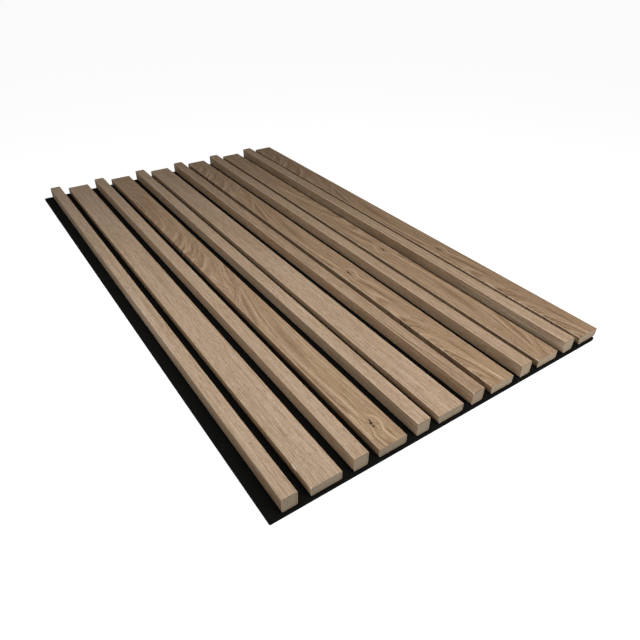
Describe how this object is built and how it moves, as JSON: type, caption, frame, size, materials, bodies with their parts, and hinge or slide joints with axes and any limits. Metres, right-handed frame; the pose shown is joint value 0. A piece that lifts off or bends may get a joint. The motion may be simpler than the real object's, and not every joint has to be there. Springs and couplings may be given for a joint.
{
  "type": "acoustic slat wall panel",
  "caption": "Flat wall panel of oak-wrapped slats, tall narrow and low wide in turn, fixed with open gaps across a black felt backing that laps out on one side.",
  "frame": {"origin": "under the middle of the panel, on the felt's back face, with the panel on its back", "axes": "+Y along the slats, +Z out of the face that shows, the felt's bare lap margin at -X"},
  "size_m": [0.6, 1.026, 0.028],
  "materials": {
    "oak_veneer": "pale oak-look wrap with fine straight and arched grain, satin",
    "mdf_core": "sawn fibreboard, matt",
    "black_felt": "pressed black felt, matt and fibrous",
    "staple_wire": "galvanised wire"
  },
  "bodies": {
    "root": {"felt_backing": "black_felt", "slat_01_narrow_core": "mdf_core", "slat_01_narrow_wrap": "oak_veneer", "slat_02_wide_core": "mdf_core", "slat_02_wide_wrap": "oak_veneer", "slat_03_narrow_core": "mdf_core", "slat_03_narrow_wrap": "oak_veneer", "slat_04_wide_core": "mdf_core", "slat_04_wide_wrap": "oak_veneer", "slat_05_narrow_core": "mdf_core", "slat_05_narrow_wrap": "oak_veneer", "slat_06_wide_core": "mdf_core", "slat_06_wide_wrap": "oak_veneer", "slat_07_narrow_core": "mdf_core", "slat_07_narrow_wrap": "oak_veneer", "slat_08_wide_core": "mdf_core", "slat_08_wide_wrap": "oak_veneer", "slat_09_narrow_core": "mdf_core", "slat_09_narrow_wrap": "oak_veneer", "slat_10_wide_core": "mdf_core", "slat_10_wide_wrap": "oak_veneer", "slat_11_narrow_core": "mdf_core", "slat_11_narrow_wrap": "oak_veneer", "slat_12_wide_core": "mdf_core", "slat_12_wide_wrap": "oak_veneer", "staples": "staple_wire"}
  },
  "joints": []
}
